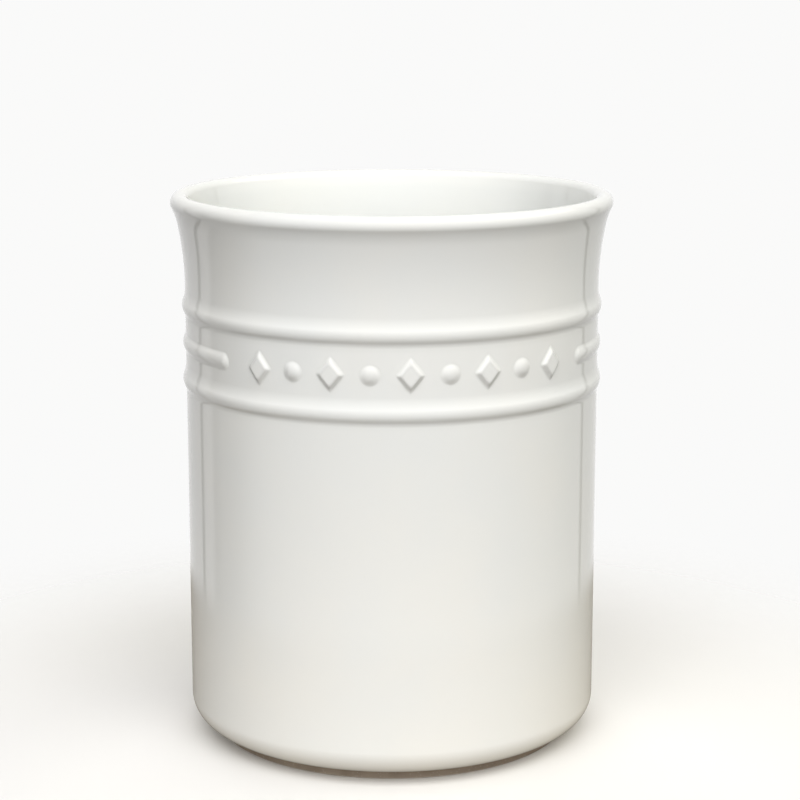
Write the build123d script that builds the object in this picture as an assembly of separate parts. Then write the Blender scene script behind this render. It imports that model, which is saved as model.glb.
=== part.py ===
from build123d import *
import math
import os

# A wide-mouthed stoneware utensil holder: one fired clay body and the glaze fused to it.
# All sizes are millimetres and degrees. The axis of the pot is +Z, the table is at Z = 0,
# and the front of the ornament faces -Y.

# Overall size
height = 190.0              # from the table to the crest of the lip
rim_diameter = 152.0        # across the widest circle of the lip
wall_thickness = 5.8        # clay and both coats of glaze
floor_thickness = 7.0       # clay and both coats of glaze
glaze_thickness = 0.4

# Flared mouth with a rolled lip
flare_height = 32.0         # how far below the crest the wall starts to lean out
flare_reach = 4.5           # how far the lip stands out from the straight wall
lip_bulge = 0.6             # how much thicker the lip is than the wall
under_lip_radius = 20.0     # hollow between the leaning wall and the lip
outer_coat_drop = 8.0       # the outer coat wraps over the lip and ends this far below it

# Base
corner_radius = 9.0         # outer corner between the wall and the underside
inside_corner_radius = 10.0
foot_height = 3.3           # bare wall of the foot ring
foot_width = 4.0
foot_setback = 0.5          # bare ledge between the end of the glaze and the foot
foot_edge_radius = 0.5
recess_depth = 2.2          # hollow under the pot, inside the foot ring
recess_fillet = 0.8

# Two raised rings round the body, with the ornament band between them
band_drop = 51.1            # from the crest of the lip down to the middle of the band
band_height = 25.6          # between the crests of the two rings
ring_relief = 1.1           # how far a ring stands out from the wall
ring_crown_radius = 4.5
ring_upper_fillet = 11.0    # the hollow above a ring is wide and gentle
ring_lower_fillet = 4.0     # the hollow below it is tight

# Raised ornament in the band, all of it centred on the middle of the band
lozenge_width = 9.4
lozenge_height = 11.6
lozenge_relief = 1.1
lozenge_table = 0.7         # the flat top of a lozenge, as a share of its outline
bead_diameter = 6.0
bead_relief = 0.95
bar_height = 5.4
bar_relief = 0.9
motif_pitch = 10.4          # degrees from each motif to the next
motif_count = 9             # on the front, and again on the back
bar_sweep = 69.0            # degrees of wall that each side bar takes, round ends left out
relief_root = 2.0           # how deep the ornament is keyed into the wall

# Radii and levels that follow
rim_radius = rim_diameter / 2
wall_radius = rim_radius - flare_reach
lip_radius = (wall_thickness + lip_bulge) / 2
lip_centre = (rim_radius - lip_radius, height - lip_radius)
flare_start = height - flare_height
band_level = height - band_drop
ring_levels = (band_level - band_height / 2, band_level + band_height / 2)
cavity_radius = wall_radius - wall_thickness
cavity_floor = recess_depth + floor_thickness
inside_corner = (cavity_radius - inside_corner_radius, cavity_floor + inside_corner_radius)
corner_centre = (wall_radius - corner_radius, foot_height + corner_radius)
foot_outer_radius = corner_centre[0] - foot_setback
foot_inner_radius = foot_outer_radius - foot_width
recess_radius = foot_inner_radius - recess_fillet


def solve_flare():
    """Centre and radius of the leaning outer wall, whose inside meets the lip smoothly."""
    across = wall_radius - lip_centre[0]
    up = lip_centre[1] - flare_start
    spare = wall_thickness - lip_radius
    radius = (spare**2 - across**2 - up**2) / (2 * (across - spare))
    return (wall_radius + radius, flare_start), radius


flare_centre, flare_radius = solve_flare()


def hollow_on_flare(centre, radius, hollow_radius, side):
    """Centre of a hollow that touches the leaning wall and a round form, above it (1) or below (-1)."""
    to_form = hollow_radius + radius
    to_flare = flare_radius - hollow_radius
    across, up = flare_centre[0] - centre[0], flare_centre[1] - centre[1]
    span = math.hypot(across, up)
    cosine = (to_form**2 + span**2 - to_flare**2) / (2 * to_form * span)
    angle = math.atan2(up, across) + side * math.acos(cosine)
    return (centre[0] + to_form * math.cos(angle), centre[1] + to_form * math.sin(angle))


under_lip_centre = hollow_on_flare(lip_centre, lip_radius, under_lip_radius, side=-1)


def bearing(start, end):
    """Direction from one profile point to another, in degrees above straight out."""
    return math.degrees(math.atan2(end[1] - start[1], end[0] - start[0])) % 360


def on_circle(centre, radius, angle):
    turn = math.radians(angle)
    return (centre[0] + radius * math.cos(turn), centre[1] + radius * math.sin(turn))


def line(start, end):
    return Line((start[0], 0, start[1]), (end[0], 0, end[1]))


def arc(centre, radius, start, end):
    """Profile arc about a centre, from one bearing to another."""
    points = [on_circle(centre, radius, angle) for angle in (start, (start + end) / 2, end)]
    return ThreePointArc(*[(across, 0, up) for across, up in points])


def join(pieces):
    """Profile pieces in order, with straight lines across the gaps, as one closed face."""
    edges = []
    for here, following in zip(pieces, pieces[1:] + pieces[:1]):
        edges.append(here)
        gap = (following @ 0) - (here @ 1)
        if gap.length > 1e-6:
            edges.append(Line(here @ 1, following @ 0))
    return make_face(edges)


def foot_profile():
    """The bare foot ring, from the edge of the recess to the end of the outer glaze."""
    inner, outer, edge = foot_inner_radius, foot_outer_radius, foot_edge_radius
    return [
        arc((recess_radius, recess_depth - recess_fillet), recess_fillet, 90, 0),
        arc((inner + edge, edge), edge, 180, 270),
        arc((outer - edge, edge), edge, 270, 360),
        line((outer, foot_height), (corner_centre[0], foot_height)),
    ]


def ring_reach(fillet_radius):
    """How far a ring reaches from its crest, to where its hollow touches the straight wall."""
    reach = ring_crown_radius + fillet_radius
    return reach * math.sin(math.acos(1 - ring_relief / reach))


def ring_centres(level):
    """Centres of a ring's lower hollow, its crown and its upper hollow."""
    crown = (wall_radius + ring_relief - ring_crown_radius, level)
    below = (wall_radius + ring_lower_fillet, level - ring_reach(ring_lower_fillet))
    above = (wall_radius + ring_upper_fillet, level + ring_reach(ring_upper_fillet))
    if above[1] > flare_start:
        above = hollow_on_flare(crown, ring_crown_radius, ring_upper_fillet, side=1)
    return below, crown, above


def wall_bearing(level):
    """Bearing at which a ring's upper hollow runs into the wall, 180 where that is straight."""
    above = ring_centres(level)[2]
    return bearing(flare_centre, above) if above[1] > flare_start else 180


def ring_profile(level, inset):
    """One raised ring, a round crown that runs into the wall through two hollows."""
    below, crown, above = ring_centres(level)
    lean_below, lean_above = 360 - bearing(crown, below), bearing(crown, above)
    return [
        arc(below, ring_lower_fillet + inset, 180, 180 - lean_below),
        arc(crown, ring_crown_radius - inset, -lean_below, lean_above),
        arc(above, ring_upper_fillet + inset, 180 + lean_above, wall_bearing(level)),
    ]


def mouth_profile(inset):
    """Leaning wall, hollow, rolled lip and the inside of the mouth."""
    lip_start = bearing(lip_centre, under_lip_centre) - 360
    lip_end = bearing(flare_centre, lip_centre)
    hollow_start = bearing(flare_centre, under_lip_centre)
    hollow_end = bearing(under_lip_centre, lip_centre)
    return [
        arc(flare_centre, flare_radius + inset, wall_bearing(ring_levels[1]), hollow_start),
        arc(under_lip_centre, under_lip_radius + inset, hollow_start, hollow_end),
        arc(lip_centre, lip_radius - inset, lip_start, lip_end),
        arc(flare_centre, flare_radius + wall_thickness - inset, lip_end, 180),
    ]


def pot_face(inset):
    """Half section of the pot, with its glazed surfaces set back by a coat's thickness."""
    pieces = [line((0, recess_depth + inset), (recess_radius, recess_depth + inset))]
    pieces += foot_profile()
    pieces.append(arc(corner_centre, corner_radius - inset, 270, 360))
    for level in ring_levels:
        pieces += ring_profile(level, inset)
    pieces += mouth_profile(inset)
    pieces.append(arc(inside_corner, inside_corner_radius + inset, 360, 270))
    pieces.append(line((inside_corner[0], cavity_floor - inset), (0, cavity_floor - inset)))
    return join(pieces)


def cap_size(width, relief):
    """Sphere radius of a dome of this width and relief."""
    return (width**2 / 4 + relief**2) / (2 * relief)


def cap_face(radius, relief, inset, whole):
    """Section of a dome or bar, from its root in the wall out to its crest."""
    centre = (wall_radius + relief - radius, band_level)
    root = wall_radius - relief_root
    spread = math.degrees(math.acos((root - centre[0]) / (radius - inset)))
    if whole:
        return join([arc(centre, radius - inset, -spread, spread)])
    crown = arc(centre, radius - inset, 0, spread)
    return join([Line((root, 0, band_level), crown @ 0), crown])


def bead(inset):
    """A round bead that faces +X."""
    face = cap_face(cap_size(bead_diameter, bead_relief), bead_relief, inset, whole=False)
    return revolve(face, Axis((0, 0, band_level), (1, 0, 0)), 360)


def bar(inset):
    """A long round-ended bar, centred on +X."""
    radius = cap_size(bar_height, bar_relief)
    run = revolve(cap_face(radius, bar_relief, inset, whole=True), Axis.Z, bar_sweep)
    end = revolve(
        cap_face(radius, bar_relief, inset, whole=False), Axis((0, 0, band_level), (1, 0, 0)), 360
    )
    return Rot(0, 0, -bar_sweep / 2) * (run + end + Rot(0, 0, bar_sweep) * end)


def lozenge(inset):
    """A low four-sided gem that faces +X."""
    slope = (1 - lozenge_table) / lozenge_relief
    root_share = 1 + slope * relief_root
    faces = []
    for depth, share in ((-relief_root, root_share), (lozenge_relief, lozenge_table)):
        across, up = lozenge_width * share / 2, lozenge_height * share / 2
        plane = Plane(origin=(wall_radius + depth - inset, 0, band_level), z_dir=(1, 0, 0))
        outline = Polyline((across, 0), (0, up), (-across, 0), (0, -up), close=True)
        faces.append(plane * make_face(outline))
    return loft(faces)


def ornament(inset):
    """Lozenges and beads in turn on the front and back, with a bar on each side."""
    pieces = []
    for facing in (-90, 90):
        for place in range(motif_count):
            motif = lozenge(inset) if place % 2 == 0 else bead(inset)
            angle = facing + (place - (motif_count - 1) / 2) * motif_pitch
            pieces.append(Rot(0, 0, angle) * motif)
    for facing in (0, 180):
        pieces.append(Rot(0, 0, facing) * bar(inset))
    return pieces


def pot(inset):
    return revolve(pot_face(inset), Axis.Z, 360) + ornament(inset)


def cavity_core():
    """Everything inside the middle of the wall, up to where the outer coat ends."""
    depth = wall_thickness / 2
    top = height - outer_coat_drop
    lean = math.degrees(math.asin((top - flare_start) / (flare_radius + depth)))
    axis = line((0, top), (0, cavity_floor - depth))
    corner = arc(inside_corner, inside_corner_radius + depth, 270, 360)
    wall = arc(flare_centre, flare_radius + depth, 180, 180 - lean)
    return revolve(join([axis, corner, wall]), Axis.Z, 360)


body = pot(glaze_thickness)
glaze = pot(0) - body
core = cavity_core()
inner_glaze = glaze & core
outer_coats = sorted((glaze - core).solids(), key=lambda solid: solid.volume)

parts = {
    "stoneware_body": body,
    "outer_glaze": outer_coats[-1],
    "inner_glaze": inner_glaze,
    "underside_glaze": outer_coats[0],
}

os.makedirs("parts", exist_ok=True)
for name, shape in parts.items():
    export_step(shape, f"parts/{name}.step")
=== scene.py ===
import math
from collections import namedtuple

import bpy
import numpy as np
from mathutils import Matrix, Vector


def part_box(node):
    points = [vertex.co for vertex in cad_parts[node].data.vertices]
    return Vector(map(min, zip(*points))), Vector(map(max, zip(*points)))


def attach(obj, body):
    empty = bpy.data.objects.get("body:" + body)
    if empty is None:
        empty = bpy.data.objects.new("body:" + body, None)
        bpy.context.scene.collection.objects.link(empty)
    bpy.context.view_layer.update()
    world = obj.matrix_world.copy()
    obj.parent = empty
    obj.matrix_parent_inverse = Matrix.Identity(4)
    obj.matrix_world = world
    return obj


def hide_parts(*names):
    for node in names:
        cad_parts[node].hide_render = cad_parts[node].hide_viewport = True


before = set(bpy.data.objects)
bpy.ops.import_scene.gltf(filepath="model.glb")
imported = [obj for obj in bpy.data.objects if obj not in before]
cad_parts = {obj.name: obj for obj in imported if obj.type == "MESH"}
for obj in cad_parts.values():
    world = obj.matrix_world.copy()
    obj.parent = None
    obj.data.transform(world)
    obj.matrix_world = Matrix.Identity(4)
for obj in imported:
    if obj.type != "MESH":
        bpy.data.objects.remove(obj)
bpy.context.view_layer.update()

# A glazed stoneware utensil holder on a pale floor.
# Lengths are metres, MM turns a size in millimetres into metres, and angles are degrees.
# The pot's axis is +Z and the front of the ornament faces -Y.
MM = 0.001
FRONT = -90.0               # the bearing of the front, where every ring of points starts
SAME_PLACE = 1e-8           # points that are nearer than this are one point
ROUNDING = 1e-6             # what a bearing or a count of cells may be off by

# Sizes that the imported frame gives
coat_low, coat_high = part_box("outer_glaze")
liner_low, liner_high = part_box("inner_glaze")
under_low, under_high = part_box("underside_glaze")
clay_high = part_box("stoneware_body")[1]
height = coat_high.z
rim_radius = min(coat_high.x, coat_high.y)
glaze_thickness = height - clay_high.z
foot_height = coat_low.z
cavity_floor = liner_low.z + glaze_thickness
recess_depth = under_low.z
recess_radius = under_high.x
seam_level = liner_high.z

# Mouth and wall
wall_thickness = 5.8 * MM
flare_height = 32.0 * MM
flare_reach = 4.5 * MM
lip_bulge = 0.6 * MM
under_lip_radius = 20.0 * MM

# Base
corner_radius = 9.0 * MM
inside_corner_radius = 10.0 * MM
foot_width = 4.0 * MM
foot_setback = 0.5 * MM
foot_edge_radius = 0.5 * MM
recess_fillet = 0.8 * MM

# Two raised rings round the body
band_drop = 51.1 * MM
band_height = 25.6 * MM
ring_relief = 1.1 * MM
ring_crown_radius = 4.5 * MM
ring_upper_fillet = 11.0 * MM
ring_lower_fillet = 4.0 * MM

# Raised ornament between the rings
lozenge_width = 9.4 * MM
lozenge_height = 11.6 * MM
lozenge_relief = 1.1 * MM
lozenge_table = 0.7         # the flat top of a lozenge, as a share of its outline
bead_diameter = 6.0 * MM
bead_relief = 0.95 * MM
bar_height = 5.4 * MM
bar_relief = 0.9 * MM
motif_pitch = 10.4
motif_count = 9             # on the front, and again on the back
bar_sweep = 69.0            # round ends left out

# How the glaze rounds the edges of the ornament, and how the hollows beside it are measured for
# painted shade and gathered glaze
ridge_softness = 0.4 * MM
crest_softness = 0.4 * MM
root_softness = 0.5 * MM
root_reach = 0.9 * MM       # how far past its outline a motif still lifts the glaze
hollow_reach = 0.9 * MM       # how wide a hollow is measured, for painted shade and gathered glaze
hollow_depth = 0.25 * MM      # the hollow that counts as full
slope_step = 0.01 * MM      # over which the slope of the ornament is measured
dome_limit = 0.98           # a dome is followed this far out, as a share of its sphere's radius
bare_wall = -1.0            # lower than any motif reaches

# Radii and levels that follow
wall_radius = rim_radius - flare_reach
lip_radius = (wall_thickness + lip_bulge) / 2
lip_centre = (rim_radius - lip_radius, height - lip_radius)
flare_start = height - flare_height
band_level = height - band_drop
ring_levels = (band_level - band_height / 2, band_level + band_height / 2)
cavity_radius = wall_radius - wall_thickness
inside_corner = (cavity_radius - inside_corner_radius, cavity_floor + inside_corner_radius)
corner_centre = (wall_radius - corner_radius, foot_height + corner_radius)
foot_outer_radius = corner_centre[0] - foot_setback
foot_inner_radius = foot_outer_radius - foot_width
liner_shade_from = lip_centre[0] - 2 * MM        # where the painted shade inside the pot starts
liner_shade_full = cavity_radius + 3 * MM        # and where it is full

# How finely a surface is divided: points round the pot, cells across half a lozenge, degrees
# along a tight arc, degrees along a wide one, and metres along a straight stretch
Fineness = namedtuple("Fineness", "columns motif_cells arc_step wide_arc_step line_step")
shown = Fineness(240, 20, 6.0, 1.2, 16 * MM)
buried = Fineness(120, 8, 12.0, 3.0, 40 * MM)
disc_shares = (1, 0.75, 0.45, 0.15, 0)          # the radii of a disc's rings of points
# Inside this share of the wall's radius, a ring has so many times fewer points
sparse_rings = ((0.2, 5), (0.5, 2))


# Profile


def solve_flare():
    """Centre and radius of the leaning outer wall, whose inside meets the lip smoothly."""
    across = wall_radius - lip_centre[0]
    up = lip_centre[1] - flare_start
    spare = wall_thickness - lip_radius
    radius = (spare**2 - across**2 - up**2) / (2 * (across - spare))
    return (wall_radius + radius, flare_start), radius


flare_centre, flare_radius = solve_flare()


def solve_under_lip():
    """Centre of the hollow under the lip, which touches the leaning wall and the lip."""
    to_lip = under_lip_radius + lip_radius
    to_flare = flare_radius - under_lip_radius
    across = flare_centre[0] - lip_centre[0]
    down = lip_centre[1] - flare_centre[1]
    span = math.hypot(across, down)
    cosine = (to_lip**2 + span**2 - to_flare**2) / (2 * to_lip * span)
    angle = math.atan2(down, across) + math.acos(cosine)
    return (lip_centre[0] + to_lip * math.cos(angle), lip_centre[1] - to_lip * math.sin(angle))


under_lip_centre = solve_under_lip()


def bearing(start, end):
    """Direction from one profile point to another, in degrees above straight out."""
    return math.degrees(math.atan2(end[1] - start[1], end[0] - start[0])) % 360


class Run:
    """A smooth stretch of profile: points, outward normals and how sharply it bends."""

    def __init__(self, points, normals, bend, fineness):
        self.points = np.array(points, float)
        self.normals = np.array(normals, float)
        self.bend = bend
        self.fineness = fineness

    def reversed(self):
        return Run(self.points[::-1], -self.normals[::-1], -self.bend, self.fineness)


def reverse(runs):
    """The same profile, followed the other way and facing the other way."""
    return [run.reversed() for run in runs[::-1]]


def line(start, end, fineness, rows=None):
    """Straight stretch of profile between two points."""
    start, end = np.array(start, float), np.array(end, float)
    along = end - start
    length = math.hypot(*along)
    rows = rows or max(1, math.ceil(length / fineness.line_step))
    points = [start + along * step / rows for step in range(rows + 1)]
    normal = (along[1] / length, -along[0] / length)
    return Run(points, [normal] * (rows + 1), 0.0, fineness)


def arc(centre, radius, start, end, fineness, step=None):
    """Profile arc about a centre, from one bearing to another."""
    rows = max(2, math.ceil(abs(end - start) / (step or fineness.arc_step)))
    angles = np.radians(np.linspace(start, end, rows + 1))
    away = np.stack([np.cos(angles), np.sin(angles)], axis=1)
    side = 1 if end > start else -1
    return Run(np.array(centre) + radius * away, side * away, side / radius, fineness)


def disc(edge, fineness):
    """A flat disc, from its edge to the axis."""
    points = [(edge[0] * share, edge[1]) for share in disc_shares]
    return Run(points, [(0, 1)] * len(points), 0.0, fineness)


def foot_profile(fineness):
    """The bare foot ring, from the edge of the recess to the end of the outer glaze."""
    inner, outer, edge = foot_inner_radius, foot_outer_radius, foot_edge_radius
    rim = (recess_radius, recess_depth - recess_fillet)
    return [
        arc(rim, recess_fillet, 90, 0, fineness),
        arc((inner + edge, edge), edge, 180, 270, fineness),
        arc((outer - edge, edge), edge, 270, 360, fineness),
        line((outer, foot_height), (corner_centre[0], foot_height), fineness),
    ]


def ring_side(fillet_radius):
    """How steep one side of a ring gets, in degrees, and how far it reaches from the crest."""
    reach = ring_crown_radius + fillet_radius
    lean = math.degrees(math.acos(1 - ring_relief / reach))
    return lean, reach * math.sin(math.radians(lean))


def ring_profile(level, inset, fineness):
    """One raised ring, a round crown that runs into the wall through two hollows."""
    lean_below, reach_below = ring_side(ring_lower_fillet)
    lean_above, reach_above = ring_side(ring_upper_fillet)
    crown = (wall_radius + ring_relief - ring_crown_radius, level)
    below = (wall_radius + ring_lower_fillet, level - reach_below)
    above = (wall_radius + ring_upper_fillet, level + reach_above)
    return [
        arc(below, ring_lower_fillet + inset, 180, 180 - lean_below, fineness),
        arc(crown, ring_crown_radius - inset, -lean_below, lean_above, fineness),
        arc(above, ring_upper_fillet + inset, 180 + lean_above, 180, fineness),
    ]


def band_profile(inset, fineness):
    """The rows that carry the ornament, in step with the edges of the lozenges."""
    row = lozenge_height / 2 / fineness.motif_cells
    rows = math.floor((band_height / 2 - ring_side(ring_upper_fillet)[1]) / row)
    low = (wall_radius - inset, band_level - row * rows)
    high = (wall_radius - inset, band_level + row * rows)
    return line(low, high, fineness, 2 * rows)


def seam_bearing(inset):
    """Where the liner meets the outer coat, seen from the centre of the leaning wall."""
    radius = flare_radius + wall_thickness - inset
    return 180 - math.degrees(math.asin((seam_level - flare_start) / radius))


def inner_flare(inset, fineness, start, end):
    """The inside of the leaning wall, between two bearings from its centre."""
    radius = flare_radius + wall_thickness - inset
    return arc(flare_centre, radius, start, end, fineness, fineness.wide_arc_step)


def mouth_profile(inset, fineness, seam):
    """Leaning wall, hollow, rolled lip and the inside of the mouth down to the seam."""
    lip_start = bearing(lip_centre, under_lip_centre) - 360
    lip_end = bearing(flare_centre, lip_centre)
    hollow_start = bearing(flare_centre, under_lip_centre)
    hollow_end = bearing(under_lip_centre, lip_centre)
    step = fineness.wide_arc_step
    return [
        arc(flare_centre, flare_radius + inset, 180, hollow_start, fineness, step),
        arc(under_lip_centre, under_lip_radius + inset, hollow_start, hollow_end, fineness),
        arc(lip_centre, lip_radius - inset, lip_start, lip_end, fineness),
        inner_flare(inset, fineness, lip_end, seam),
    ]


def outside_profile(inset, fineness, seam):
    """Outer corner, wall, rings, ornament and mouth, from the foot to the seam or beyond."""
    runs = [arc(corner_centre, corner_radius - inset, 270, 360, fineness)]
    runs += ring_profile(ring_levels[0], inset, fineness)
    runs.append(band_profile(inset, fineness))
    runs += ring_profile(ring_levels[1], inset, fineness)
    return runs + mouth_profile(inset, fineness, seam)


def inside_profile(inset, fineness, seam):
    """From the seam down the inside wall and across the floor to the axis."""
    return [
        inner_flare(inset, fineness, seam, 180),
        arc(inside_corner, inside_corner_radius + inset, 360, 270, fineness),
        disc((inside_corner[0], cavity_floor - inset), fineness),
    ]


# Ornament


def soft_low(a, b, blend):
    """The lower of two heights, with the edge between them rounded."""
    share = np.clip(0.5 + 0.5 * (b - a) / blend, 0, 1)
    return b + (a - b) * share - blend * share * (1 - share)


def soft_high(a, b, blend):
    """The higher of two heights, with the hollow between them rounded."""
    return -soft_low(-a, -b, blend)


def lozenge(across, up):
    """A low four-sided gem with a flat top."""
    width = np.hypot(across, ridge_softness) / (lozenge_width / 2)
    rise = np.hypot(up, ridge_softness) / (lozenge_height / 2)
    slope = lozenge_relief * (1 - width - rise) / (1 - lozenge_table)
    return soft_low(slope, lozenge_relief, crest_softness)


def dome(distance, width, relief):
    """A round crown of this width and relief, which carries on below the wall."""
    radius = (width**2 / 4 + relief**2) / (2 * relief)
    reach = np.minimum(distance, dome_limit * radius)
    return np.sqrt(radius**2 - reach**2) - (radius - relief)


def bead(across, up):
    return dome(np.hypot(across, up), bead_diameter, bead_relief)


def bar(across, up):
    past_end = np.maximum(np.abs(across) - math.radians(bar_sweep / 2) * wall_radius, 0)
    return dome(np.hypot(past_end, up), bar_height, bar_relief)


half_widths = {lozenge: lozenge_width / 2, bead: bead_diameter / 2, bar: bar_height / 2}


def motifs():
    """Bearing and shape of every motif: both faces of the band and the two side bars."""
    found = []
    for facing in (FRONT, FRONT + 180):
        for place in range(motif_count):
            centre = facing + (place - (motif_count - 1) / 2) * motif_pitch
            found.append((centre, lozenge if place % 2 == 0 else bead))
    return found + [(FRONT + 90, bar), (FRONT + 270, bar)]


def relief(bearings, level):
    """Height of the ornament above the wall, at these bearings and this level."""
    highest = np.full(np.shape(bearings), bare_wall)
    for centre, shape in motifs():
        turn = (bearings - centre + 180) % 360 - 180
        highest = np.maximum(highest, shape(np.radians(turn) * wall_radius, level - band_level))
    return soft_high(highest, 0.0, root_softness)


def relief_slopes(bearings, level):
    """How steeply the ornament climbs round the pot and up it."""
    turn = math.degrees(slope_step / wall_radius)
    onward = relief(bearings + turn, level) - relief(bearings - turn, level)
    upward = relief(bearings, level + slope_step) - relief(bearings, level - slope_step)
    return onward / (2 * slope_step), upward / (2 * slope_step)


def relief_hollow(bearings, level):
    """How deep in a hollow each point is, for painted shade and gathered glaze, from how far the
    ornament stands above it all round.
    """
    around = []
    for direction in np.radians(np.arange(0, 360, 45)):
        turn = math.degrees(hollow_reach * math.cos(direction) / wall_radius)
        around.append(relief(bearings + turn, level + hollow_reach * math.sin(direction)))
    return (np.mean(around, axis=0) - relief(bearings, level)) / hollow_depth


def carries_ornament(radius, level):
    """Whether the ornament shapes a ring of points with this radius and level."""
    half = lozenge_height / 2 + root_reach
    on_wall = abs(radius - wall_radius) < 2 * glaze_thickness
    return on_wall and abs(level - band_level) < half


# Meshes


def add_object(name, data):
    """A new object with this mesh, lamp or camera, in the scene."""
    made = bpy.data.objects.new(name, data)
    bpy.context.scene.collection.objects.link(made)
    return made


def even_columns(count):
    """This many bearings, evenly round the pot."""
    return FRONT + np.arange(count) * 360 / count


def motif_edges(centre, shape, fineness):
    """Bearings one cell apart over a motif, or over the two ends of a bar."""
    cell = lozenge_width / 2 / fineness.motif_cells
    half = math.ceil(half_widths[shape] / cell - ROUNDING)
    reach = half + math.ceil(root_reach / cell)
    if shape is bar:
        ends = [(centre + side * bar_sweep / 2, side) for side in (-1, 1)]
        steps = [(end, side * step) for end, side in ends for step in range(reach)]
    else:
        steps = [(centre, step) for step in range(-reach, reach + 1)]
    return [start + math.degrees(step * cell / wall_radius) for start, step in steps]


def motif_columns(fineness):
    """Bearings in step with the edges of the ornament, and even where the wall is plain."""
    edges = set()
    for centre, shape in motifs():
        for edge in motif_edges(centre, shape, fineness):
            edges.add(round((edge - FRONT) % 360, 6) + FRONT)
    edges = sorted(edges)
    widest = 360 / fineness.columns
    columns = []
    for here, following in zip(edges, edges[1:] + [edges[0] + 360]):
        pieces = max(1, math.ceil((following - here) / widest - ROUNDING))
        columns += [here + (following - here) * step / pieces for step in range(pieces)]
    return np.array(columns)


motif_column_sets = {fineness: motif_columns(fineness) for fineness in (shown, buried)}


def columns_at(radius, level, fineness):
    """The bearings that a ring of points has."""
    if radius < SAME_PLACE:
        return np.array([FRONT])
    if carries_ornament(radius, level):
        return motif_column_sets[fineness]
    for share, fewer in sparse_rings:
        if radius < share * wall_radius:
            return even_columns(fineness.columns // fewer)
    return even_columns(fineness.columns)


class Ring:
    """One ring of points, with the surface's normals just before it and just after it."""

    def __init__(self, point, before, after, bend, fineness):
        self.radius, self.level = point
        self.before = before
        self.after = after
        self.bend = bend
        self.bearings = columns_at(self.radius, self.level, fineness)
        self.relief = carries_ornament(self.radius, self.level)

    def points(self):
        radius = np.full(len(self.bearings), self.radius)
        if self.relief:
            radius = radius + relief(self.bearings, self.level)
        turn = np.radians(self.bearings)
        level = np.full(len(turn), self.level)
        return np.stack([radius * np.cos(turn), radius * np.sin(turn), level], axis=1)

    def normals(self, side):
        """Normals of the ring's points. The side is the profile's normal, outwards and up."""
        out, up = side
        turn = np.radians(self.bearings)
        outward = np.stack([np.cos(turn), np.sin(turn), 0 * turn], axis=1)
        onward = np.stack([-np.sin(turn), np.cos(turn), 0 * turn], axis=1)
        upward = np.array([0.0, 0.0, 1.0])
        if not self.relief:
            return outward * out + upward * up
        round_slope, up_slope = relief_slopes(self.bearings, self.level)
        normal = outward - onward * round_slope[:, None] - upward * up_slope[:, None]
        return math.copysign(1, out) * normal / np.linalg.norm(normal, axis=1)[:, None]

    def hollows(self):
        """How far each point lies in a hollow or on a crest, from 1 to -1. It sets painted shade,
        with gathered glaze in hollows and thinned glaze on crests.
        """
        # Round a point on a surface that bends one way, the mean rise is bend * reach**2 / 4
        hollow = np.full(len(self.bearings), -self.bend * hollow_reach**2 / 4 / hollow_depth)
        if self.relief:
            hollow = hollow + relief_hollow(self.bearings, self.level)
        return np.clip(hollow, -1, 1)


def straight_normal(here, following):
    """Normal of the straight surface between two profile points, or None if they are one."""
    across, up = following[0] - here[0], following[1] - here[1]
    length = math.hypot(across, up)
    return None if length < SAME_PLACE else (up / length, -across / length)


def rings_along(runs, closed):
    """Rings of points along the runs, with straight stretches across the gaps."""
    rings = []
    for run in runs:
        for step, (point, normal) in enumerate(zip(run.points, run.normals)):
            before = normal
            if step == 0 and rings:
                last = rings[-1]
                before = straight_normal((last.radius, last.level), point)
                if before is None:
                    last.after = normal
                    continue
                last.after = before
            rings.append(Ring(point, before, normal, run.bend, run.fineness))
    if closed:
        first, last = rings[0], rings[-1]
        last.after = straight_normal((last.radius, last.level), (first.radius, first.level))
        first.before = last.after
    return rings


def quad(low, high, at_low, to_low, at_high, to_high):
    """A four-sided face that starts at the corner its diagonal should leave from."""
    corners = ((0, at_low), (0, to_low), (1, to_high), (1, at_high))
    if not low.relief:
        return corners
    from_face = (low.bearings[at_low] - FRONT + 90) % 180 - 90
    from_motif = (from_face + motif_pitch / 2) % motif_pitch - motif_pitch / 2
    middle = (low.level + high.level) / 2
    edge_falls = (from_motif >= -ROUNDING) == (middle > band_level)
    return corners[1:] + corners[:1] if edge_falls else corners


def strip(low, high):
    """Faces between two rings, as corners: which ring, and which of its points."""
    a, b = list(low.bearings), list(high.bearings)
    if len(a) == 1 and len(b) == 1:
        return []
    if len(b) == 1:
        return [((0, i), (0, (i + 1) % len(a)), (1, 0)) for i in range(len(a))]
    if len(a) == 1:
        return [((0, 0), (1, (j + 1) % len(b)), (1, j)) for j in range(len(b))]
    faces = []
    turn_a, turn_b = a + [a[0] + 360], b + [b[0] + 360]
    i = j = 0
    while i < len(a) or j < len(b):
        next_a, next_b = turn_a[min(i + 1, len(a))], turn_b[min(j + 1, len(b))]
        at_a, at_b = i % len(a), j % len(b)
        to_a, to_b = (i + 1) % len(a), (j + 1) % len(b)
        if i < len(a) and j < len(b) and abs(next_a - next_b) < ROUNDING:
            faces.append(quad(low, high, at_a, to_a, at_b, to_b))
            i, j = i + 1, j + 1
        elif j >= len(b) or (i < len(a) and next_a - turn_b[j] < next_b - turn_a[i]):
            faces.append(((0, at_a), (0, to_a), (1, at_b)))
            i += 1
        else:
            faces.append(((0, at_a), (1, to_b), (1, at_b)))
            j += 1
    return faces


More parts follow.
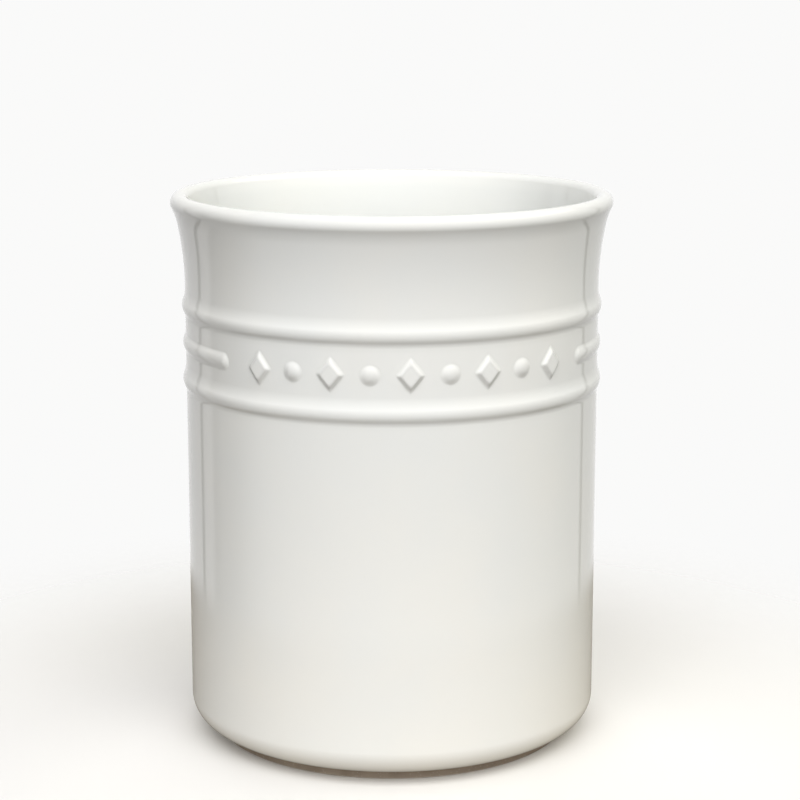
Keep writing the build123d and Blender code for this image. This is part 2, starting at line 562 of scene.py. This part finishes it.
def shell(name, runs, closed=True):
    """A closed mesh turned from a profile, with the normals of the true surface."""
    rings = rings_along(runs, closed)
    starts = np.cumsum([0] + [len(ring.bearings) for ring in rings]).tolist()
    pairs = list(zip(range(len(rings)), range(1, len(rings))))
    if closed:
        pairs.append((len(rings) - 1, 0))
    faces, normals = [], []
    for pair in pairs:
        low, high = (rings[place] for place in pair)
        sides = (low.normals(low.after), high.normals(high.before))
        for corners in strip(low, high):
            faces.append([starts[pair[end]] + place for end, place in corners])
            normals += [sides[end][place] for end, place in corners]
    mesh = bpy.data.meshes.new(name)
    points = np.concatenate([ring.points() for ring in rings])
    mesh.from_pydata(points.tolist(), [], faces)
    mesh.polygons.foreach_set("use_smooth", [True] * len(faces))
    mesh.normals_split_custom_set(np.array(normals).tolist())
    attribute = mesh.attributes.new("hollow", "FLOAT", "POINT")
    hollows = np.concatenate([ring.hollows() for ring in rings])
    attribute.data.foreach_set("value", hollows.astype(np.float32))
    mesh.update()
    return add_object(name, mesh)


def outer_coat():
    skin = outside_profile(0, shown, seam_bearing(0))
    back = outside_profile(glaze_thickness, buried, seam_bearing(glaze_thickness))
    return shell("outer_glaze_coat", skin + reverse(back))


def liner_coat():
    skin = inside_profile(0, shown, seam_bearing(0))
    back = inside_profile(glaze_thickness, buried, seam_bearing(glaze_thickness))
    return shell("inner_glaze_coat", skin + reverse(back))


def underside_coat():
    skin = disc((recess_radius, recess_depth), shown).reversed()
    back = disc((recess_radius, recess_depth + glaze_thickness), buried)
    return shell("underside_glaze_coat", [skin, back])


def clay():
    """The fired body, bare on the foot and buried under the glaze elsewhere."""
    underside = disc((recess_radius, recess_depth + glaze_thickness), buried).reversed()
    runs = [underside] + foot_profile(shown)
    runs += outside_profile(glaze_thickness, buried, 180)
    runs += inside_profile(glaze_thickness, buried, 180)[1:]
    return shell("clay_body", runs, closed=False)


# Colours, as linear red, green and blue
WHITE_COOL = (0.85, 0.855, 0.83)
WHITE_WARM = (0.872, 0.865, 0.825)
# Painted shade: the same white glaze, darker inside the pot
LINER_SHADED_COOL = (0.77, 0.78, 0.76)
LINER_SHADED_WARM = (0.785, 0.79, 0.76)
# Hollows and crests: gathered and thinned glaze, darkened further as painted shade
GLAZE_POOLED_AND_SHADED = (0.72, 0.725, 0.685)
GLAZE_THIN_AND_SHADED = (0.735, 0.73, 0.705)
FLECK = (0.50, 0.46, 0.38)
CLAY = (0.34, 0.28, 0.22)
CLAY_DARK = (0.25, 0.20, 0.155)
CLAY_GRAIN = (0.50, 0.44, 0.36)
CLAY_IRON = (0.10, 0.065, 0.045)
CLAY_GROUND = (0.52, 0.46, 0.39)
FLOOR = (0.86, 0.845, 0.82)
FLOOR_GLOW_NEAR = (0.43, 0.39, 0.33)            # the floor as it lights the pot from below
FLOOR_GLOW_FAR = (0.26, 0.23, 0.19)
FLOOR_MIRRORED = (0.37, 0.34, 0.30)             # the floor as the glaze reflects it
BACKDROP = (0.955, 0.955, 0.95)
WARM_LIGHT = (1.0, 0.98, 0.82)
WHITE_LIGHT = (1.0, 1.0, 1.0)

# Glaze: how wide its changes are, and how far each one goes
cloud_size = 45 * MM
cloud_range = (0.35, 0.65)          # the noise that counts as the one white and as the other
pooled_and_shade_share = 0.55                 # how far the colour darkens in hollows: gathered glaze and painted shade
thin_and_shade_share = 0.6                    # the same on crests: thinner glaze, and painted shade against their highlight
fleck_share = 0.4
sheen_size = 14 * MM
sheen_range = (0.3, 0.7)
glaze_roughness = (0.02, 0.045)
glaze_ior = 1.5
wide_ripple = (22 * MM, 0.030 * MM)             # how wide and how high
fine_ripple = (2.2 * MM, 0.0012 * MM)
pinhole_depth = 0.03 * MM

# Bare clay
blotch_size = 9 * MM
blotch_range = (0.3, 0.7)
grain_share = 0.5
iron_share = 0.8
ground_levels = (0.55 * MM, 0.25 * MM)          # above the table, where the foot is ground
ground_share = 0.7
clay_roughness = 0.85
clay_gloss = 0.3
sand_bump = (0.35 * MM, 0.05 * MM)              # how wide and how high
hand_bump = (2.5 * MM, 0.08 * MM)
speck_core = 0.4                    # a speck is full inside this share of its radius

# Floor
floor_reach = 4.0
floor_fade = (0.11, 0.28)           # how far from the axis it turns into the backdrop
mirrored_fade = (0.19, 0.25)        # the same, in the glaze's reflections
glow_fade = (0.14, 0.17)            # where the light that it throws back on the pot drops
floor_roughness = 0.9
floor_gloss = 0.1


# Materials

# The mix node's sockets: where its two inputs and its output are for this kind of value
mix_sockets = {"FLOAT": (2, 3, 0), "RGBA": (6, 7, 2)}


def start_material(name):
    material = bpy.data.materials.new(name)
    material.use_nodes = True
    return material, material.node_tree, material.node_tree.nodes["Principled BSDF"]


def node(tree, kind, **settings):
    """A new node. Settings name its properties, or its sockets with spaces as underscores."""
    made = tree.nodes.new(kind)
    for name, value in settings.items():
        if hasattr(made, name):
            setattr(made, name, value)
        else:
            made.inputs[name.replace("_", " ")].default_value = value
    return made


def feed(tree, socket, value):
    """Gives a socket a number, a colour or what another node makes."""
    if isinstance(value, (int, float)):
        socket.default_value = value
    elif isinstance(value, tuple):
        socket.default_value = value + (1.0,)
    else:
        tree.links.new(value, socket)


def object_place(tree):
    return node(tree, "ShaderNodeTexCoord").outputs["Object"]


def object_level(tree, place):
    split = node(tree, "ShaderNodeSeparateXYZ")
    tree.links.new(place, split.inputs["Vector"])
    return split.outputs["Z"]


def length_of(tree, vector):
    made = node(tree, "ShaderNodeVectorMath", operation="LENGTH")
    tree.links.new(vector, made.inputs[0])
    return made.outputs["Value"]


def noise(tree, place, feature, detail=2.0):
    """Soft noise whose features are about this many metres across."""
    made = node(tree, "ShaderNodeTexNoise", Scale=1 / feature, Detail=detail, Roughness=0.5)
    tree.links.new(place, made.inputs["Vector"])
    return made.outputs["Fac"]


def spread(tree, value, low, high, to_low=0.0, to_high=1.0, curve="LINEAR"):
    """Turns values from low to high into values from to_low to to_high."""
    made = node(tree, "ShaderNodeMapRange", interpolation_type=curve, From_Min=low, From_Max=high)
    made.inputs["To Min"].default_value = to_low
    made.inputs["To Max"].default_value = to_high
    tree.links.new(value, made.inputs["Value"])
    return made.outputs["Result"]


def combine(tree, operation, first, second):
    """Two numbers put together by a math node's operation."""
    made = node(tree, "ShaderNodeMath", operation=operation)
    feed(tree, made.inputs[0], first)
    feed(tree, made.inputs[1], second)
    return made.outputs["Value"]


def mixed(tree, share, first, second, kind="RGBA"):
    """The first colour or number, turned towards the second by a share from 0 to 1."""
    made = node(tree, "ShaderNodeMix", data_type=kind)
    at_first, at_second, at_result = mix_sockets[kind]
    feed(tree, made.inputs["Factor"], share)
    feed(tree, made.inputs[at_first], first)
    feed(tree, made.inputs[at_second], second)
    return made.outputs[at_result]


def bumps(tree, layers):
    """A chain of bumps, from (pattern, height in metres) pairs."""
    normal = None
    for pattern, rise in layers:
        made = node(tree, "ShaderNodeBump", Distance=rise)
        tree.links.new(pattern, made.inputs["Height"])
        if normal:
            tree.links.new(normal, made.inputs["Normal"])
        normal = made.outputs["Normal"]
    return normal


def specks(tree, place, spacing, size, share):
    """1 inside rare small specks, and 0 outside them. Share is how many cells have a speck."""
    cells = node(tree, "ShaderNodeTexVoronoi", Scale=1 / spacing)
    tree.links.new(place, cells.inputs["Vector"])
    edge = size / spacing
    near = spread(tree, cells.outputs["Distance"], edge, speck_core * edge)
    pick = node(tree, "ShaderNodeSeparateColor")
    tree.links.new(cells.outputs["Color"], pick.inputs["Color"])
    chosen = combine(tree, "LESS_THAN", pick.outputs["Red"], share)
    return combine(tree, "MULTIPLY", near, chosen)


def inside_shade_share(tree, place):
    """Share of painted shade on the glaze: 0 outside the pot and 1 inside it, with a soft change
    over the roll of the lip.
    """
    flat = node(tree, "ShaderNodeVectorMath", operation="MULTIPLY")
    flat.inputs[1].default_value = (1.0, 1.0, 0.0)
    tree.links.new(place, flat.inputs[0])
    away = length_of(tree, flat.outputs["Vector"])
    inward = spread(tree, away, liner_shade_from, liner_shade_full)
    back_of_floor = cavity_floor - glaze_thickness
    above = combine(tree, "GREATER_THAN", object_level(tree, place), back_of_floor)
    return combine(tree, "MULTIPLY", inward, above)


def glaze_material(name):
    """Glossy warm white glaze, with painted shade: darker inside the pot, and darker in hollows and
    on crests, partly where the glaze gathers and thins.
    """
    material, tree, shader = start_material(name)
    place = object_place(tree)
    hollow = node(tree, "ShaderNodeAttribute", attribute_name="hollow").outputs["Fac"]

    clouds = spread(tree, noise(tree, place, cloud_size, detail=3.0), *cloud_range)
    outside = mixed(tree, clouds, WHITE_COOL, WHITE_WARM)
    inside = mixed(tree, clouds, LINER_SHADED_COOL, LINER_SHADED_WARM)
    # Painted shade: the glaze turns darker inside the pot
    colour = mixed(tree, inside_shade_share(tree, place), outside, inside)
    # Painted shade in hollows and on crests, partly glaze that gathers there and thins
    pooled_and_shade = spread(tree, hollow, 0.0, 1.0, to_high=pooled_and_shade_share)
    # Painted shade on crests, against their highlight, partly thinner glaze
    thin = spread(tree, hollow, 0.0, -1.0, to_high=thin_and_shade_share)
    colour = mixed(tree, pooled_and_shade, colour, GLAZE_POOLED_AND_SHADED)
    colour = mixed(tree, thin, colour, GLAZE_THIN_AND_SHADED)
    flecks = specks(tree, place, spacing=5.0 * MM, size=0.16 * MM, share=0.05)
    colour = mixed(tree, combine(tree, "MULTIPLY", flecks, fleck_share), colour, FLECK)
    tree.links.new(colour, shader.inputs["Base Color"])

    sheen = noise(tree, place, sheen_size)
    roughness = spread(tree, sheen, *sheen_range, *glaze_roughness)
    tree.links.new(roughness, shader.inputs["Roughness"])
    shader.inputs["IOR"].default_value = glaze_ior

    pinholes = specks(tree, place, spacing=9.0 * MM, size=0.22 * MM, share=0.06)
    layers = [(noise(tree, place, width), rise) for width, rise in (wide_ripple, fine_ripple)]
    layers.append((combine(tree, "MULTIPLY", pinholes, -1.0), pinhole_depth))
    tree.links.new(bumps(tree, layers), shader.inputs["Normal"])
    return material


def clay_material(name):
    """Bare fired stoneware: sandy, with fine grains, and paler where the foot is ground."""
    material, tree, shader = start_material(name)
    place = object_place(tree)
    blotches = spread(tree, noise(tree, place, blotch_size, detail=4.0), *blotch_range)
    colour = mixed(tree, blotches, CLAY, CLAY_DARK)
    grains = specks(tree, place, spacing=0.7 * MM, size=0.25 * MM, share=0.35)
    colour = mixed(tree, combine(tree, "MULTIPLY", grains, grain_share), colour, CLAY_GRAIN)
    iron = specks(tree, place, spacing=1.6 * MM, size=0.22 * MM, share=0.18)
    colour = mixed(tree, combine(tree, "MULTIPLY", iron, iron_share), colour, CLAY_IRON)
    ground = spread(tree, object_level(tree, place), *ground_levels, to_high=ground_share)
    colour = mixed(tree, ground, colour, CLAY_GROUND)
    tree.links.new(colour, shader.inputs["Base Color"])
    shader.inputs["Roughness"].default_value = clay_roughness
    shader.inputs["Specular IOR Level"].default_value = clay_gloss
    sand = noise(tree, place, sand_bump[0], detail=3.0)
    hand = noise(tree, place, hand_bump[0])
    layers = [(sand, sand_bump[1]), (hand, hand_bump[1])]
    tree.links.new(bumps(tree, layers), shader.inputs["Normal"])
    return material


# The pot

glaze = glaze_material("white_glaze")
bare_clay = clay_material("bare_stoneware")

for build, node_name, slot, material in (
    (clay, "stoneware_body", "bare_stoneware", bare_clay),
    (outer_coat, "outer_glaze", "outer_glaze", glaze),
    (liner_coat, "inner_glaze", "inner_glaze", glaze),
    (underside_coat, "underside_glaze", "outer_glaze", glaze),
):
    piece = build()
    piece.data.materials.append(material)
    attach(piece, "root")
    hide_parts(node_name)


# Floor and backdrop


def sheet(name, corners, faces, material):
    """A thin surface of the studio, which isn't part of the pot."""
    mesh = bpy.data.meshes.new(name)
    mesh.from_pydata(corners, [], faces)
    mesh.materials.append(material)
    return add_object(name, mesh)


def floor_material():
    """A plain pale floor that turns into the backdrop some way from the pot."""
    material, tree, shader = start_material("pale_floor")
    path = node(tree, "ShaderNodeLightPath")
    lights, mirrored = path.outputs["Is Diffuse Ray"], path.outputs["Is Glossy Ray"]
    away = length_of(tree, object_place(tree))
    glow = mixed(tree, spread(tree, away, *glow_fade), FLOOR_GLOW_NEAR, FLOOR_GLOW_FAR)
    colour = mixed(tree, lights, FLOOR, glow)
    colour = mixed(tree, mirrored, colour, FLOOR_MIRRORED)
    tree.links.new(colour, shader.inputs["Base Color"])
    shader.inputs["Roughness"].default_value = floor_roughness
    shader.inputs["Specular IOR Level"].default_value = floor_gloss
    fades = [spread(tree, away, *ends, curve="SMOOTHSTEP") for ends in (floor_fade, mirrored_fade)]
    clear = node(tree, "ShaderNodeBsdfTransparent")
    blend = node(tree, "ShaderNodeMixShader")
    tree.links.new(mixed(tree, mirrored, *fades, kind="FLOAT"), blend.inputs[0])
    tree.links.new(shader.outputs[0], blend.inputs[1])
    tree.links.new(clear.outputs[0], blend.inputs[2])
    tree.links.new(blend.outputs[0], tree.nodes["Material Output"].inputs["Surface"])
    return material


def make_floor():
    square = ((-1, -1), (1, -1), (1, 1), (-1, 1))
    corners = [(across * floor_reach, back * floor_reach, 0) for across, back in square]
    floor = sheet("floor", corners, [(0, 1, 2, 3)], floor_material())


def make_world():
    """A white backdrop to the camera and in reflections, which doesn't light the pot."""
    world = bpy.data.worlds.new("studio")
    world.use_nodes = True
    bpy.context.scene.world = world
    tree = world.node_tree
    path = node(tree, "ShaderNodeLightPath")
    seen = path.outputs["Is Camera Ray"]
    for other in ("Is Glossy Ray", "Is Transmission Ray"):
        seen = combine(tree, "MAXIMUM", seen, path.outputs[other])
    background = tree.nodes["Background"]
    background.inputs["Color"].default_value = BACKDROP + (1.0,)
    tree.links.new(seen, background.inputs["Strength"])


make_floor()
make_world()


# Lamps: name, place, size, power in watts, colour, and whether the glaze reflects them
pot_middle = (0.0, 0.0, height / 2)
LAMPS = (
    ("key", (0.0, -3.25, 3.9), (7.0, 5.5), 380.0, WHITE_LIGHT, False),
    ("right_fill", (4.3, 0.4, 2.6), (4.0, 4.0), 68.0, WARM_LIGHT, True),
    ("left_fill", (-4.3, 0.4, 2.6), (4.0, 4.0), 24.0, WHITE_LIGHT, False),
    ("front_low", (-0.8, -4.9, 1.15), (5.0, 1.6), 68.0, WHITE_LIGHT, False),
    ("back_fill", (0.0, 4.6, 1.6), (4.4, 2.8), 150.0, WHITE_LIGHT, False),
)


def softbox(name, place, size, power, colour, reflected):
    """A rectangular lamp that faces the middle of the pot."""
    lamp = bpy.data.lights.new(name, "AREA")
    lamp.shape = "RECTANGLE"
    lamp.size, lamp.size_y = size
    lamp.energy = power
    lamp.color = colour
    holder = add_object(name, lamp)
    holder.location = place
    facing = Vector(pot_middle) - Vector(place)
    holder.rotation_euler = facing.to_track_quat("-Z", "Y").to_euler()
    holder.visible_camera = False
    holder.visible_glossy = reflected


for lamp_settings in LAMPS:
    softbox(*lamp_settings)


# Wall that shows only in the glaze's reflections, like a pale room with a window on the right
wall_distance = 1.2
wall_reach = 0.9                                # above and below the table
wall_faces = 120
pattern_fade = (-0.5, -0.35)                    # the levels over which its pattern fades in
PLAIN, LINE, SHADE, WINDOW = 0.955, 0.25, 0.35, 1.10
BRIGHTNESS_ROUND_WALL = (                       # by degrees from the front towards the right
    (-180.0, PLAIN),
    (-135.6, PLAIN), (-134.8, LINE), (-132.4, LINE), (-131.6, PLAIN),
    (-122.0, PLAIN), (-118.0, SHADE), (-98.0, SHADE), (-76.0, PLAIN),
    (62.0, PLAIN), (86.0, WINDOW), (122.0, WINDOW),
    (122.8, LINE), (125.2, LINE), (126.0, PLAIN),
    (180.0, PLAIN),
)


def pattern_round_wall(tree, turn):
    """The brightness of the wall in each direction, as a colour. The turn is in radians."""
    ramp = node(tree, "ShaderNodeValToRGB")
    stops = ramp.color_ramp.elements
    while len(stops) < len(BRIGHTNESS_ROUND_WALL):
        stops.new(0.5)
    for stop, (degrees, _) in zip(stops, BRIGHTNESS_ROUND_WALL):
        stop.position = (degrees + 180) / 360
    for stop, (_, brightness) in zip(stops, BRIGHTNESS_ROUND_WALL):
        stop.color = (brightness, brightness, brightness, 1.0)
    tree.links.new(spread(tree, turn, -math.pi, math.pi), ramp.inputs["Fac"])
    return ramp.outputs["Color"]


def wall_material():
    """Glows with its pattern, which fades into the plain backdrop below the table."""
    material, tree, shader = start_material("mirrored_wall")
    tree.nodes.remove(shader)
    place = node(tree, "ShaderNodeSeparateXYZ")
    tree.links.new(object_place(tree), place.inputs["Vector"])
    ahead = combine(tree, "MULTIPLY", place.outputs["Y"], -1.0)
    turn = combine(tree, "ARCTAN2", place.outputs["X"], ahead)
    patterned = spread(tree, place.outputs["Z"], *pattern_fade)
    glow = node(tree, "ShaderNodeEmission")
    colour = mixed(tree, patterned, BACKDROP, pattern_round_wall(tree, turn))
    tree.links.new(colour, glow.inputs["Color"])
    tree.links.new(glow.outputs[0], tree.nodes["Material Output"].inputs["Surface"])
    return material


def make_mirrored_wall():
    corners = []
    for turn in np.radians(even_columns(wall_faces)):
        across, back = wall_distance * math.cos(turn), wall_distance * math.sin(turn)
        corners += [(across, back, -wall_reach), (across, back, wall_reach)]
    count = len(corners)
    faces = [(i, (i + 2) % count, (i + 3) % count, i + 1) for i in range(0, count, 2)]
    wall = sheet("mirrored_wall", corners, faces, wall_material())
    wall.visible_camera = False
    wall.visible_diffuse = False
    wall.visible_transmission = False
    wall.visible_shadow = False


make_mirrored_wall()


# Camera
camera_distance = 760.0 * MM        # from the pot's axis
camera_height = 273.8 * MM
camera_turn = 4.8                   # degrees round the pot, towards its left
camera_pitch = 11.70                # degrees below level
camera_yaw = 0.215                  # degrees that it looks past the axis, to the right
camera_lens = 99.6                  # focal length in millimetres
camera_sensor = 36.0                # width in millimetres


def make_camera():
    camera = bpy.data.cameras.new("camera")
    camera.sensor_width = camera_sensor
    camera.lens = camera_lens
    holder = add_object("camera", camera)
    turn = math.radians(camera_turn)
    across, back = camera_distance * math.sin(turn), camera_distance * math.cos(turn)
    holder.location = (-across, -back, camera_height)
    heading = -math.radians(camera_turn + camera_yaw)
    holder.rotation_euler = (math.radians(90 - camera_pitch), 0, heading)
    bpy.context.scene.camera = holder


make_camera()
bpy.context.scene.view_settings.view_transform = "Standard"
